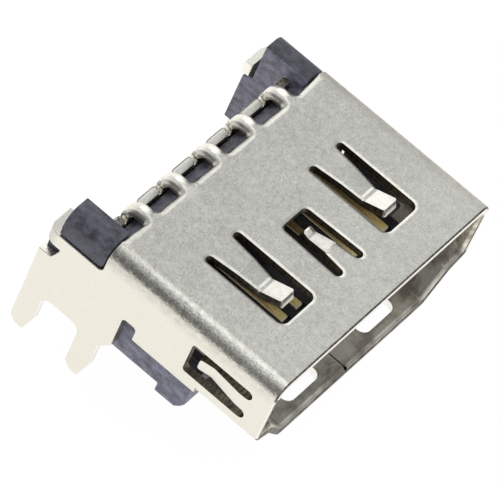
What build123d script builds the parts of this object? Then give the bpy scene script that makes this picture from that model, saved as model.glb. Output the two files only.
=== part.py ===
from build123d import *
import os

# Board socket for a digital video plug: a folded sheet shell, a moulded housing and 19 contacts.
# The board plane is z = 0, the mouth is the plane y = 0 and faces -Y, and x = 0 is the middle.
# All sizes are in millimetres.

# Sheet and mouth
sheet = 0.40
opening_width = 14.00
opening_height = 4.55
roof_fold = 0.40
shoulder_height = 1.75
knee_inset = 1.12
knee_drop = 0.39
floor_inset = 2.35
lower_fold = 0.15

# Lengths of the shell: the chin and the walls from the mouth, the others from the walls' rear edge
chin_length = 3.30
wall_length = 11.95
roof_setback = 2.93
floor_setback = 3.25

# Side walls behind the chin
skirt_drop = 0.05
latch_width = 0.73
latch_top = 2.42
latch_fillet = 0.20
heel_length = 0.53
heel_height = 0.47
wing_gap_depth = 1.48

# Legs through the board
leg_width = 1.03
leg_length = 2.62
leg_pitch = 3.02
leg_taper = 0.30
leg_nose = 0.97
leg_shoulder = 0.16
leg_heel = 0.32
leg_fillet = 0.45

# Hooks folded behind the wings
hook_drop = 0.72
hook_reach = 1.50
hook_fold = 0.15
hook_relief = 0.73
hook_relief_depth = 0.80
hook_setback = 0.00

# Rear apron, hung from the roof by bridges
bridge_width = 0.80
bridge_pitch = 2.33
bridge_count = 5
bridge_reach = 1.15
apron_fold = 0.30
apron_bottom = 0.90
apron_gap = 0.10
apron_edge_drop = 0.68
relief_width = 0.18
relief_depth = 0.32
window_fillet = 0.17

# Roof springs: the arm runs from the root to the bend, the nose from there to the tip, and
# curl is the sloping end of the arm
roof_spring_offset = 3.53
roof_spring_width = 2.26
roof_spring_slot = 0.40
roof_spring_root = 6.06
roof_spring_arm = 2.41
roof_spring_curl = 1.20
roof_spring_nose = 0.99
roof_spring_space = 0.69
roof_spring_tip_width = 0.93
roof_spring_dip = 0.10
roof_spring_lift = 0.27
roof_spring_corner = 0.36

# Middle roof spring, which points to the rear
middle_spring_width = 1.84
middle_spring_end_width = 1.64
middle_spring_slot = 0.44
middle_spring_root = 2.18
middle_spring_arm = 1.88
middle_spring_curl = 0.95
middle_spring_nose = 0.40
middle_spring_space = 0.69
middle_spring_tip_width = 0.54
middle_spring_dip = 0.17
middle_spring_lift = -0.05
middle_spring_corner = 0.25

# Side springs, which also point to the rear
side_spring_depth = 2.08
side_spring_width = 1.76
side_spring_slot = 0.50
side_spring_root = 1.19
side_spring_arm = 1.79
side_spring_curl = 1.45
side_spring_nose = 0.70
side_spring_space = 0.49
side_spring_tip_width = 0.58
side_spring_dip = 0.20
side_spring_lift = -0.08
side_spring_corner = 0.15

# Floor springs and the seam of the floor
floor_spring_offset = 2.63
floor_spring_width = 2.25
floor_spring_slot = 0.40
floor_spring_root = 5.00
floor_spring_arm = 2.40
floor_spring_curl = 1.60
floor_spring_nose = 0.95
floor_spring_space = 1.07
floor_spring_tip_width = 0.92
floor_spring_dip = 0.30
floor_spring_lift = -0.03
floor_spring_corner = 0.40
spring_tip_fillet = 0.13
seam_offset = -0.40
seam_width = 0.06
dovetail_place = 6.40
dovetail_width = 1.20
dovetail_length = 0.90
dovetail_flare = 0.20

# Housing
fit = 0.03
body_gap = 0.08
nub_gap = 0.08
nub_thickness = 0.60
shelf_lift = 0.42
recess_gap = 0.25
recess_margin = 0.55
tongue_front = 2.30
tongue_margin = 0.75
tongue_lift = 1.27
tongue_thickness = 1.31
tongue_nose = 0.15
lip = 0.32
rail_front_gap = 0.28
rail_chamfer = 0.13
rail_tuck = 0.25
rail_gap = 0.10
peg_length = 1.43
peg_width = 1.55
peg_depth = 0.50
peg_chamfer = 0.38
wing_width = 1.37
wing_recess = 0.06
wing_front_gap = 0.08
wing_rear_gap = 0.15
wing_side_gap = 0.08
hook_gap = 0.10
ear_setback = 0.10
ear_chamfer = 0.25

# Contacts
upper_count = 10
lower_count = 9
contact_pitch = 1.00
contact_sheet = 0.20
blade_width = 0.45
blade_proud = 0.02
blade_nose = 0.10
blade_setback = 0.10
blade_grip = 0.65
tail_width = 0.25
tail_bend = 0.25
tail_gap = 0.18
tail_rows = 0.32
tail_reach = 1.85

# Comb that spaces the tails
comb_back = 0.27
comb_bottom = 0.45
comb_top = 1.50
comb_side_gap = 0.05

# Worked out from the sizes above: mouth and shell
half_width = opening_width / 2 + sheet
shell_height = opening_height + 2 * sheet
inner_half = opening_width / 2
knee_height = shoulder_height - knee_drop
floor_half = half_width - floor_inset - sheet - lower_fold
skirt_height = shoulder_height - skirt_drop
roof_length = wall_length - roof_setback
floor_length = wall_length - floor_setback
rear_leg_start = wall_length - leg_width
front_leg_start = rear_leg_start - leg_pitch
latch_rear = front_leg_start - heel_length
latch_front = latch_rear - latch_width
wing_gap_height = shell_height - wing_gap_depth
hook_low = wing_gap_height - hook_drop
hook_bend_start = wall_length - hook_setback - sheet - hook_fold
apron_rear = roof_length + bridge_reach
clear = 2 * half_width

# Worked out: contacts
contact_span = (upper_count - 1) * contact_pitch
tongue_bottom = sheet + tongue_lift
tongue_top = tongue_bottom + tongue_thickness
upper_blade_top = tongue_top + blade_proud
lower_blade_bottom = tongue_bottom - blade_proud

# Worked out: housing
housing_half = inner_half - fit
floor_top = sheet + fit
body_top = shell_height - sheet - fit
body_front = latch_rear + body_gap
body_rear = apron_rear - sheet - apron_gap
recess_front = floor_length + recess_gap
recess_half = contact_span / 2 + recess_margin
shelf_height = tongue_top + shelf_lift
tongue_half = contact_span / 2 + tongue_margin
groove_front = tongue_front + lip
rail_front = chin_length + rail_front_gap
rail_inner = floor_half + rail_gap
wing_inner = half_width - wing_width
wing_outer = half_width - wing_recess
wing_top = shell_height - wing_recess
wing_low = wing_gap_height + wing_side_gap
wing_front = roof_length + wing_front_gap
wing_rear = wall_length - hook_setback - sheet - wing_rear_gap
ledge_height = hook_low - hook_gap
ear_rear = wall_length - ear_setback

# Worked out: tails and comb
blade_front = groove_front + blade_setback
blade_rear = recess_front - blade_grip
lower_drop = recess_front + tail_gap
upper_drop = lower_drop + tail_rows
tail_end = upper_drop + tail_reach
comb_front = recess_front + fit
comb_rear = upper_drop + comb_back


def block(x0, x1, y0, y1, z0, z1):
    """Box between two opposite corners."""
    corner = Pos((x0 + x1) / 2, (y0 + y1) / 2, (z0 + z1) / 2)
    return corner * Box(x1 - x0, y1 - y0, z1 - z0)


def polygon(points):
    """Flat face through a list of points, in its own plane."""
    return make_face(Polyline(*points, close=True))


def ribbon(points, thickness, bend):
    """Edge view of a bent strip whose middle line runs through the points."""
    middle = [Vector(*point) for point in points]
    headings = [(b - a).normalized() for a, b in zip(middle, middle[1:])]
    left, right, left_radii, right_radii = [], [], [], []
    for index, point in enumerate(middle):
        before = headings[max(index - 1, 0)]
        after = headings[min(index, len(headings) - 1)]
        heading = (before + after).normalized()
        reach = thickness / 2 / heading.dot(after)
        side = Vector(-heading.Y, heading.X) * reach
        left.append(point + side)
        right.append(point - side)
        if 0 < index < len(middle) - 1:
            swing = thickness / 2 if before.cross(after).Z > 0 else -thickness / 2
            left_radii.append(bend - swing)
            right_radii.append(bend + swing)
    if left_radii:
        left_side = FilletPolyline(*left, radius=left_radii)
        right_side = FilletPolyline(*right, radius=right_radii)
    else:
        left_side = Line(*left)
        right_side = Line(*right)
    ends = Line(left[0], right[0]) + Line(left[-1], right[-1])
    return make_face(left_side + right_side + ends)


def mouth_face(inset):
    """Outline of the mouth in the XZ plane, moved inwards by inset."""
    side = half_width
    knee = side - knee_inset
    corner = side - floor_inset
    right = [(side, shell_height), (side, shoulder_height), (knee, knee_height), (corner, 0)]
    left = [(-x, z) for x, z in reversed(right)]
    face = polygon(right + left)
    vertices = face.vertices()
    roof = vertices.filter_by(lambda v: v.Y > shoulder_height + sheet)
    face = fillet(roof, roof_fold + sheet)
    low = face.vertices().filter_by(lambda v: v.Y < sheet or abs(v.Y - shoulder_height) < sheet / 4)
    face = fillet(low, lower_fold + sheet)
    bent = face.vertices().filter_by(lambda v: abs(v.Y - knee_height) < 0.001 and abs(abs(v.X) - knee) < 0.001)
    face = fillet(bent, lower_fold)
    if inset:
        face = offset(face, amount=-inset, kind=Kind.INTERSECTION)
    return face


def along_y(face, y0, y1):
    """Extrude a face drawn as x, z from y0 to y1."""
    placed = Plane.XZ * face
    return Pos(0, y0, 0) * extrude(placed, amount=-(y1 - y0))


def along_x(face, x0, x1):
    """Extrude a face drawn as y, z from x0 to x1."""
    placed = Plane.YZ * face
    return Pos(x0, 0, 0) * extrude(placed, amount=x1 - x0)


def spring(width, end_width, slot, root, way, arm, curl, nose, space, tip_width, dip, lift, corner):
    """Cutter and finger of a spring in a sheet whose outer face is z = 0; way is 1 to the rear."""
    bend = root + way * arm
    tip = bend + way * nose
    end = tip + way * space
    window = polygon([
        (-width / 2, root), (width / 2, root), (end_width / 2, end), (-end_width / 2, end),
    ])
    corners = window.vertices().filter_by(lambda v: abs(v.Y - end) < slot / 2)
    window = fillet(corners, corner)
    for side in (-1, 1):
        window += Pos(side * (width - slot) / 2, root) * Circle(slot / 2)
    cutter = Pos(0, 0, -2 * sheet) * extrude(window, amount=3 * sheet)
    line = -sheet / 2
    profile = ribbon([
        (root - way * slot, line),
        (bend - way * curl, line),
        (bend, line - dip),
        (tip, line + lift),
    ], sheet, 1.2 * sheet)
    root_width = width - 2 * slot
    plan = polygon([
        (-root_width / 2, root), (root_width / 2, root),
        (tip_width / 2, bend), (tip_width / 2, tip + way * sheet),
        (-tip_width / 2, tip + way * sheet), (-tip_width / 2, bend),
    ])
    plan += polygon([
        (-root_width / 2, root - way * slot), (root_width / 2, root - way * slot),
        (root_width / 2, root), (-root_width / 2, root),
    ])
    tall = Pos(0, 0, -5 * sheet) * extrude(plan, amount=10 * sheet)
    finger = along_x(profile, -width, width) & tall
    tip_corners = finger.edges().filter_by(
        lambda e: abs(e.length - sheet) < sheet / 20 and abs(e.center().Y - tip) < sheet / 2)
    return cutter, fillet(tip_corners, spring_tip_fillet)


def spring_places():
    """Each spring with its place on the shell."""
    roof = spring(
        roof_spring_width, roof_spring_width, roof_spring_slot, roof_spring_root, -1, roof_spring_arm,
        roof_spring_curl, roof_spring_nose, roof_spring_space, roof_spring_tip_width, roof_spring_dip,
        roof_spring_lift, roof_spring_corner)
    middle = spring(
        middle_spring_width, middle_spring_end_width, middle_spring_slot, middle_spring_root, 1,
        middle_spring_arm, middle_spring_curl, middle_spring_nose, middle_spring_space,
        middle_spring_tip_width, middle_spring_dip, middle_spring_lift, middle_spring_corner)
    side = spring(
        side_spring_width, side_spring_width, side_spring_slot, side_spring_root, 1, side_spring_arm,
        side_spring_curl, side_spring_nose, side_spring_space, side_spring_tip_width, side_spring_dip,
        side_spring_lift, side_spring_corner)
    floor = spring(
        floor_spring_width, floor_spring_width, floor_spring_slot, floor_spring_root, -1, floor_spring_arm,
        floor_spring_curl, floor_spring_nose, floor_spring_space, floor_spring_tip_width, floor_spring_dip,
        floor_spring_lift, floor_spring_corner)
    side_height = shell_height - side_spring_depth
    places = [(Pos(0, 0, shell_height), middle)]
    for hand in (-1, 1):
        places.append((Pos(hand * roof_spring_offset, 0, shell_height), roof))
        places.append((Pos(hand * floor_spring_offset, 0, 0) * Rot(0, 180, 0), floor))
        places.append((Pos(hand * half_width, 0, side_height) * Rot(0, 90 * hand, 0), side))
    return places


def leg_outline(start):
    """Points down one leg and up its rear edge, from the front."""
    tip = -leg_length
    return [
        (start, tip + leg_nose),
        (start + leg_taper, tip),
        (start + leg_width - leg_heel, tip),
        (start + leg_width, tip + leg_heel),
    ]


def side_plate():
    """Side wall behind the latch notch, with its two legs, drawn as y, z."""
    points = [(latch_rear, wing_gap_height), (latch_rear, heel_height), (front_leg_start, -leg_shoulder)]
    points += leg_outline(front_leg_start)
    points += [(front_leg_start + leg_width, 0), (rear_leg_start, 0)]
    points += leg_outline(rear_leg_start)
    points += [(wall_length, wing_gap_height)]
    face = polygon(points)
    crotch = face.vertices().filter_by(lambda v: abs(v.Y) < 0.001)
    face = fillet(crotch, leg_fillet)
    relief_rear = wall_length + hook_relief_depth
    relief = Rectangle(2 * hook_relief_depth, hook_relief, align=(Align.MAX, Align.MAX))
    face -= Pos(relief_rear, hook_low) * relief
    upper = Rectangle(clear, 2 * hook_drop, align=(Align.MIN, Align.CENTER))
    return face - Pos(hook_bend_start, wing_gap_height) * upper


def hook():
    """Hook of the right side wall: the top rear corner of the wall, folded inwards."""
    line = half_width - sheet / 2
    turn = wall_length - hook_setback - sheet / 2
    points = [(line, hook_bend_start - sheet), (line, turn), (half_width - hook_reach, turn)]
    face = ribbon(points, sheet, hook_fold + sheet / 2)
    return Pos(0, 0, hook_low) * extrude(face, amount=hook_drop)


def apron():
    """Rear apron and the bridges that carry it, as one fold of the roof."""
    line = shell_height - sheet / 2
    turn = apron_rear - sheet / 2
    points = [(roof_length - 2 * sheet, line), (turn, line), (turn, apron_bottom)]
    face = ribbon(points, sheet, apron_fold + sheet / 2)
    half = wing_inner - apron_gap
    folded = along_x(face, -half, half)
    spread = bridge_pitch * (bridge_count - 1) / 2
    outer_edge = spread + bridge_width / 2
    window_width = bridge_pitch - bridge_width
    lower = shell_height - apron_edge_drop
    far = roof_length + 2 * bridge_reach
    cuts = []
    for index in range(bridge_count - 1):
        middle = -spread + (index + 0.5) * bridge_pitch
        cuts.append((middle - window_width / 2, middle + window_width / 2))
    cuts.append((-half - sheet, -outer_edge))
    cuts.append((outer_edge, half + sheet))
    for x0, x1 in cuts:
        opening = block(x0, x1, roof_length, far, lower, shell_height + sheet)
        front = opening.edges().filter_by(Axis.Z).group_by(Axis.Y)[0]
        opening = fillet(front, window_fillet)
        folded -= opening
    relief_low = lower - relief_depth
    for index in range(bridge_count):
        middle = -spread + index * bridge_pitch
        for hand in (-1, 1):
            near = middle + hand * bridge_width / 2
            away = near + hand * relief_width
            slit = block(min(near, away), max(near, away), apron_rear - 2 * sheet, far, relief_low, lower + sheet)
            folded -= slit
    return folded


def seam():
    """Butt seam along the floor, locked by one dovetail."""
    half = seam_width / 2
    front = dovetail_place - dovetail_width / 2
    rear = dovetail_place + dovetail_width / 2
    side = seam_offset
    tip = side + dovetail_length
    lock = polygon([
        (side - half, front), (tip, front - dovetail_flare), (tip, rear + dovetail_flare), (side - half, rear),
    ])
    core = polygon([
        (side - 2 * half, front + seam_width),
        (tip - seam_width, front - dovetail_flare + 1.5 * seam_width),
        (tip - seam_width, rear + dovetail_flare - 1.5 * seam_width),
        (side - 2 * half, rear - seam_width),
    ])
    line = Pos(side, floor_length / 2) * Rectangle(seam_width, floor_length + 2 * sheet)
    cut = line - core + (lock - core)
    return Pos(0, 0, -sheet) * extrude(cut, amount=3 * sheet)


def make_shell():
    """The whole folded shell, as one sheet."""
    ring = mouth_face(0) - mouth_face(sheet)
    body = along_y(ring, 0, chin_length)
    middle = (skirt_height + shell_height) / 2
    outer = Pos(0, middle) * Rectangle(2 * half_width, shell_height - skirt_height)
    outer = fillet(outer.vertices().group_by(Axis.Y)[-1], roof_fold + sheet)
    inner_tall = shell_height - sheet - skirt_height
    inner = Pos(0, skirt_height + inner_tall / 2) * Rectangle(opening_width, inner_tall)
    inner = fillet(inner.vertices().group_by(Axis.Y)[-1], roof_fold)
    inner += Pos(0, skirt_height) * Rectangle(opening_width, sheet)
    body += along_y(outer - inner, chin_length, roof_length)
    body += block(-floor_half, floor_half, chin_length - sheet, floor_length, 0, sheet)
    notch = block(-clear, clear, latch_front, latch_rear, 0, latch_top)
    notch = fillet(notch.edges().filter_by(Axis.X).group_by(Axis.Z)[-1], latch_fillet)
    body -= notch - block(-inner_half + sheet, inner_half - sheet, latch_front, latch_rear, 0, latch_top)
    plate = side_plate()
    body += along_x(plate, inner_half, half_width)
    body += along_x(plate, -half_width, -inner_half)
    right_hook = hook()
    body += right_hook
    body += mirror(right_hook, about=Plane.YZ)
    body += apron()
    body -= seam()
    for place, (cutter, _) in spring_places():
        body -= place * cutter
    for place, (_, finger) in spring_places():
        body += place * finger
    return body


def rail_face():
    """Section of the right rail: it fills the corner between the walls and the mouth's outline."""
    width = housing_half - rail_inner
    side_height = skirt_height + rail_tuck
    corner = Pos(rail_inner, 0) * Rectangle(width, side_height, align=(Align.MIN, Align.MIN))
    return corner - mouth_face(sheet - fit)


def contact_places():
    """x of the upper and of the lower contacts."""
    upper = [(index - (upper_count - 1) / 2) * contact_pitch for index in range(upper_count)]
    lower = [(index - (lower_count - 1) / 2) * contact_pitch for index in range(lower_count)]
    return upper, lower


def make_housing():
    """The moulded housing: tongue, body, rails, pegs, ears and wings."""
    body = block(-housing_half, housing_half, body_front, wing_front, floor_top, body_top)
    upper_corners = body.edges().filter_by(Axis.Y).group_by(Axis.Z)[-1]
    body = fillet(upper_corners, roof_fold - fit)
    back = block(-wing_inner, wing_inner, wing_front - sheet, body_rear, floor_top, body_top)
    under_bend = back.edges().filter_by(Axis.X).group_by(Axis.Y)[-1].sort_by(Axis.Z)[-1]
    body += chamfer(under_bend, apron_fold + sheet / 2)
    tongue = block(-tongue_half, tongue_half, tongue_front, body_front, tongue_bottom, tongue_top)
    nose = tongue.edges().filter_by(Axis.X).group_by(Axis.Y)[0]
    body += chamfer(nose, tongue_nose)
    for hand in (-1, 1):
        body += make_side(hand)
    body -= block(-recess_half, recess_half, recess_front, clear, -sheet, shelf_height)
    wide = blade_width / 2 + fit
    deep = contact_sheet + fit
    upper, lower = contact_places()
    for x in upper:
        floor = upper_blade_top - contact_sheet
        body -= block(x - wide, x + wide, groove_front, recess_front, floor, floor + deep)
    for x in lower:
        ceiling = lower_blade_bottom + contact_sheet
        body -= block(x - wide, x + wide, groove_front, recess_front, ceiling - deep, ceiling)
    return body


def make_side(hand):
    """Rail, latch nub, peg, ear and wing of one side; hand is 1 on the right."""
    side = along_y(rail_face(), rail_front, body_front + sheet)
    side += block(housing_half - nub_thickness, housing_half, latch_front + nub_gap, body_front + sheet,
                  skirt_height, latch_top - nub_gap)
    side += block(rail_inner, housing_half, body_front, recess_front, 0, floor_top + sheet)
    peg = block(housing_half - peg_width, housing_half, rail_front, rail_front + peg_length, -peg_depth, sheet)
    toe = peg.edges().filter_by(Axis.X).group_by(Axis.Z)[0].sort_by(Axis.Y)[0]
    side += chamfer(toe, peg_chamfer)
    front_corner = polygon([
        (housing_half - rail_chamfer, rail_front), (housing_half, rail_front),
        (housing_half, rail_front + rail_chamfer),
    ])
    side -= Pos(0, 0, -2 * peg_depth) * extrude(front_corner, amount=clear)
    side += block(recess_half, housing_half, recess_front - sheet, body_rear, 0, shelf_height)
    ear = block(wing_inner, housing_half, body_rear - sheet, ear_rear, 0, ledge_height)
    ear_top = ear.edges().filter_by(Axis.X).group_by(Axis.Z)[-1].sort_by(Axis.Y)[-1]
    side += chamfer(ear_top, ear_chamfer)
    side += block(wing_inner, housing_half, wing_front, wing_rear, ledge_height - sheet, wing_low)
    wing = block(wing_inner, wing_outer, wing_front, wing_rear, wing_low, wing_top)
    crown = wing.edges().filter_by(Axis.Y).sort_by(lambda e: e.center().X + e.center().Z)[-1]
    side += fillet(crown, roof_fold + sheet - wing_recess)
    return side if hand > 0 else mirror(side, about=Plane.YZ)


def make_contact(x, low, hand, drop):
    """One stamped contact; hand is 1 where its bare face looks up, and drop is where its tail goes down."""
    level = low + contact_sheet / 2
    foot = contact_sheet / 2
    profile = ribbon([
        (blade_rear - contact_sheet, level), (drop, level), (drop, foot), (tail_end, foot),
    ], contact_sheet, tail_bend)
    tail = along_x(profile, x - tail_width / 2, x + tail_width / 2)
    blade = block(x - blade_width / 2, x + blade_width / 2, blade_front, blade_rear, low, low + contact_sheet)
    front = blade.edges().filter_by(Axis.X).group_by(Axis.Y)[0]
    nose = front.sort_by(Axis.Z)[-1 if hand > 0 else 0]
    return fillet(nose, blade_nose) + tail


def make_comb():
    """Comb that keeps the tails at their pitch, pushed up into the rear recess."""
    half = recess_half - comb_side_gap
    comb = block(-half, half, comb_front, comb_rear, comb_bottom, comb_top)
    wide = tail_width / 2 + fit
    thick = contact_sheet / 2 + fit
    upper, lower = contact_places()
    for x in upper:
        comb -= block(x - wide, x + wide, upper_drop - thick, comb_rear + sheet, 0, comb_top + sheet)
    for x in lower:
        comb -= block(x - wide, x + wide, comb_front - sheet, lower_drop + thick, 0, comb_top + sheet)
    return comb


def main():
    """Build every piece and write one STEP file for each."""
    upper, lower = contact_places()
    pieces = {"shell": make_shell(), "housing": make_housing(), "tail_comb": make_comb()}
    for number, x in enumerate(upper, 1):
        contact = make_contact(x, upper_blade_top - contact_sheet, 1, upper_drop)
        pieces["upper_contact_%02d" % number] = contact
    for number, x in enumerate(lower, 1):
        contact = make_contact(x, lower_blade_bottom, -1, lower_drop)
        pieces["lower_contact_%02d" % number] = contact
    os.makedirs("parts", exist_ok=True)
    for name, piece in pieces.items():
        export_step(piece, "parts/%s.step" % name)


main()
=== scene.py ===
import math
from contextlib import contextmanager

import bmesh
import bpy
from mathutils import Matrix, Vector


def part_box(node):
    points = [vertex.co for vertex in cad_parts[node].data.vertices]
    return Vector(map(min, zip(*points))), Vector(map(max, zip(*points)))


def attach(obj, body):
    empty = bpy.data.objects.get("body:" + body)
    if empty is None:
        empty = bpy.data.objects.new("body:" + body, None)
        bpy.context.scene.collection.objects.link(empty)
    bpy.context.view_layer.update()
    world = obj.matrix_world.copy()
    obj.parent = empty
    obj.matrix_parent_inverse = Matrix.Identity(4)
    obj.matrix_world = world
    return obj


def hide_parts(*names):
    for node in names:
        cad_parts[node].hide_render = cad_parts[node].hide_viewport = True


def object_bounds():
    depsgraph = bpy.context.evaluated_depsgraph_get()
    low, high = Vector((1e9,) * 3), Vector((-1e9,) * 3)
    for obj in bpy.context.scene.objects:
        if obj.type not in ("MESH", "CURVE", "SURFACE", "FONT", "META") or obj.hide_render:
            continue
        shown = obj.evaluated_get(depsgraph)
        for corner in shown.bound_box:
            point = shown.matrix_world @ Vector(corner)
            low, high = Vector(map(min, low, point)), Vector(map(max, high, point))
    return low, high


bl_info = {
    "name": "Digital Video Socket",
    "version": (1, 0, 0),
    "blender": (4, 5, 0),
    "location": "View3D > Sidebar > Socket",
    "description": "Dresses the packed board socket: sheet shell, moulded housing and stamped contacts",
    "category": "Object",
}

MM = 0.001
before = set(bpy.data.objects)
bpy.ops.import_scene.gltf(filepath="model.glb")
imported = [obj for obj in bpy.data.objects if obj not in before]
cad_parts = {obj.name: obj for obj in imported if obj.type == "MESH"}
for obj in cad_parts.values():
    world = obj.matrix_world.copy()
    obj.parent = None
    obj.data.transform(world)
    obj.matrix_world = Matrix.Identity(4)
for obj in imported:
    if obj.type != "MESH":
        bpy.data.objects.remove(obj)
CAD_LOW, CAD_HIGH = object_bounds()
SHELL_LOW, SHELL_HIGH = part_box("shell")
COMB_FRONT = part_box("tail_comb")[0].y
UPPER_CONTACTS = sorted(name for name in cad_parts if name.startswith("upper_contact"))
LOWER_CONTACTS = sorted(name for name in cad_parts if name.startswith("lower_contact"))

# The middle of the mouth's opening
MOUTH = Vector((0.0, 0.0, 2.9 * MM))

# Heights on the shell; the noses of the long springs are its highest points
NOSE_RISE = 0.26 * MM
ROOF = SHELL_HIGH.z - NOSE_RISE
ROOF_BAND = ROOF - 0.75 * MM
RIM_CHANGE = ROOF - 0.65 * MM
UNDERSIDE_LOW = ROOF - 0.5 * MM
INSIDE_TOP = ROOF - 0.3 * MM
SHOULDER = 2.0 * MM
FLOOR_TOP = 0.45 * MM
SEAM_EDGE_TOP = 0.39 * MM

# Lengths on the shell, from the mouth to the rear
RIM_DEPTH = 0.27 * MM
LEAD_IN_FOOT = 0.3 * MM
ROLL_CHANGE = 8.30 * MM
INSIDE_END = 8.8 * MM
ROOF_CUTS_END = 9.0 * MM
ROOF_END = 9.02 * MM
REAR_BEND = 9.47 * MM
BEND_RADIUS = 0.70 * MM
BRIDGES_END = 10.4 * MM

# Widths on the shell, from its middle
FLAT_HALF = SHELL_HIGH.x - 0.80 * MM
SEAM_HALF = 0.95 * MM
SEAM_EDGE_HALF = 1.0 * MM
CUTS_HALF = 6.3 * MM
LEFT_WALL = -6.4 * MM
RIGHT_WALL = 6.5 * MM
WALL_SKIN = 6.95 * MM
INSIDE_HALF = 7.1 * MM

# The long springs, the middle spring and the windows of walls and floor
LONG_SPRING = 3.55 * MM
LONG_SPRING_HALF = 0.75 * MM
LONG_NOSE_BEND = 3.92 * MM
SPRINGS_HALF = 4.3 * MM
LONG_NOSE_END = (2.4 * MM, 2.9 * MM)
MIDDLE_NOSE_BEND = 4.10 * MM
MIDDLE_NOSE = (MIDDLE_NOSE_BEND, 4.5 * MM)
MIDDLE_NOSE_END = (4.3 * MM, 4.7 * MM)
MIDDLE_NOSE_HALF = 0.8 * MM
FLOOR_WINDOW = (1.3 * MM, 4.0 * MM)
WALL_WINDOWS = ((0.8 * MM, 4.4 * MM), (6.0 * MM, 8.0 * MM))
WALL_WINDOW_HEIGHTS = (0.6 * MM, 4.4 * MM)

# The apron behind the roof, the notches under the hooks and the hooks' own region
APRON_FRONT = 9.6 * MM
APRON_EDGE = ROOF - 0.68 * MM
APRON_LEDGE = (ROOF - 0.85 * MM, ROOF - 0.6 * MM)
APRON_HALF = 6.0 * MM
APRON_CORNER = 5.3 * MM
NOTCH_FRONT = 11.15 * MM
NOTCH_HEIGHTS = (2.42 * MM, 3.15 * MM)
HOOK_BEND = 11.3 * MM
HOOK_LOW = 2.7 * MM

# The housing's wings and its right rail
WING_FRONT = 9.10 * MM
WING_LOW = 3.95 * MM
WING_SEAT = 3.87 * MM
WING_CHEEK = 6.03 * MM
RAIL_FRONT = 3.58 * MM
RAIL_REACH = 0.27 * MM
RAIL_INNER = 5.3 * MM

# Where the contacts' open blades end
BLADE_END = 7.0 * MM

# Edges that turn more than SHARP are corners, and those under SMOOTH are shaded smooth
SHARP = math.radians(35)
SMOOTH = math.radians(40)

# In a copy, points closer than MERGE become one, and faces that turn less than FLAT do too
MERGE = 0.0005 * MM
FLAT = math.radians(0.5)

# How far a point may lie from the mouth plane, from another place and inside a bend's true radius
TOUCH = 0.01 * MM
NEAR = 0.02 * MM
FACET_DEPTH = 0.03 * MM

# Most of a noise lies between these two values
NOISE_LOW = 0.3
NOISE_HIGH = 0.7

# Places of the finishes in the lists of materials
TIN, ROOF_CUT, WALL_CUT_PAINTED_LIGHT, DRAWN, BURNISHED_PAINTED_LIGHT, SEAM_GAP_PAINTED_SHADE, RIM_CUT_PAINTED_SHADE, CHEEK, SPRING_TIP = range(9)
GOLD, RUBBED_EDGE_HIGHLIGHT, FLANK_PAINTED_SHADE = range(3)


class SocketSizes(bpy.types.PropertyGroup):
    """Widths of the small radii and breaks that the bare solids leave out."""

    roll_width: bpy.props.FloatProperty(
        name="Roll width", description="Band round the roof's openings that the punch drew down",
        default=0.15 * MM, unit="LENGTH")
    roll_depth: bpy.props.FloatProperty(
        name="Roll depth", description="Drop of that band at its edge",
        default=0.045 * MM, unit="LENGTH")
    window_edge: bpy.props.FloatProperty(
        name="Window edge", description="Rounding of the rear windows and of the bridges between them",
        default=0.33 * MM, unit="LENGTH")
    apron_edge: bpy.props.FloatProperty(
        name="Apron edge", description="Rounding of the apron's upper edge between the bridges",
        default=0.12 * MM, unit="LENGTH")
    lead_in: bpy.props.FloatProperty(
        name="Lead-in", description="Rounding of the mouth's inner front edge",
        default=0.24 * MM, unit="LENGTH")
    notch_corner: bpy.props.FloatProperty(
        name="Notch corner", description="Radius in the corners of the notch under each hook",
        default=0.20 * MM, unit="LENGTH")
    wing_corner: bpy.props.FloatProperty(
        name="Wing corner", description="Radius on the lower corners of the wings",
        default=0.22 * MM, unit="LENGTH")
    rim_edge: bpy.props.FloatProperty(
        name="Rim edge", description="Rounding of the mouth's outer front edge",
        default=0.07 * MM, unit="LENGTH")
    cut_edge: bpy.props.FloatProperty(
        name="Cut edge", description="Break on the other edges of the sheet",
        default=0.035 * MM, unit="LENGTH")
    mould_edge: bpy.props.FloatProperty(
        name="Mould edge", description="Rounding on the moulded corners",
        default=0.05 * MM, unit="LENGTH")
    contact_edge_highlight: bpy.props.FloatProperty(
        name="Contact edge", description="Break on the stamped contacts",
        default=0.05 * MM, unit="LENGTH")
    sag_start: bpy.props.FloatProperty(
        name="Sag start", description="Where the roof begins to lean towards its rear bends",
        default=9.12 * MM, unit="LENGTH")


class SocketColours(bpy.types.PropertyGroup):
    """Colours of the finishes."""

    tin: bpy.props.FloatVectorProperty(
        name="Tin", description="Matt tin plate of the shell", subtype="COLOR",
        default=(0.86, 0.83, 0.76))
    steel: bpy.props.FloatVectorProperty(
        name="Steel", description="Blanked faces, where the punch tore the bare sheet", subtype="COLOR",
        default=(0.20, 0.18, 0.155))
    plastic: bpy.props.FloatVectorProperty(
        name="Plastic", description="Slate moulding", subtype="COLOR",
        default=(0.095, 0.092, 0.120))
    gold: bpy.props.FloatVectorProperty(
        name="Gold", description="Gold flash of the blades", subtype="COLOR",
        default=(1.0, 0.74, 0.29))
    room: bpy.props.FloatVectorProperty(
        name="Room", description="Plain light of the room", subtype="COLOR",
        default=(0.555, 0.583, 0.592))


def sizes():
    return bpy.context.scene.socket_sizes


def colours():
    return bpy.context.scene.socket_colours


# Shading helpers

def new_material(name):
    """A material with an empty tree, its shader and its output."""
    material = bpy.data.materials.new(name)
    material.use_nodes = True
    tree = material.node_tree
    tree.nodes.clear()
    shader = tree.nodes.new("ShaderNodeBsdfPrincipled")
    output = tree.nodes.new("ShaderNodeOutputMaterial")
    tree.links.new(shader.outputs["BSDF"], output.inputs["Surface"])
    return material, tree, shader


def place_of(tree):
    """Object coordinates, which every pattern reads."""
    return tree.nodes.new("ShaderNodeTexCoord").outputs["Object"]


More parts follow.
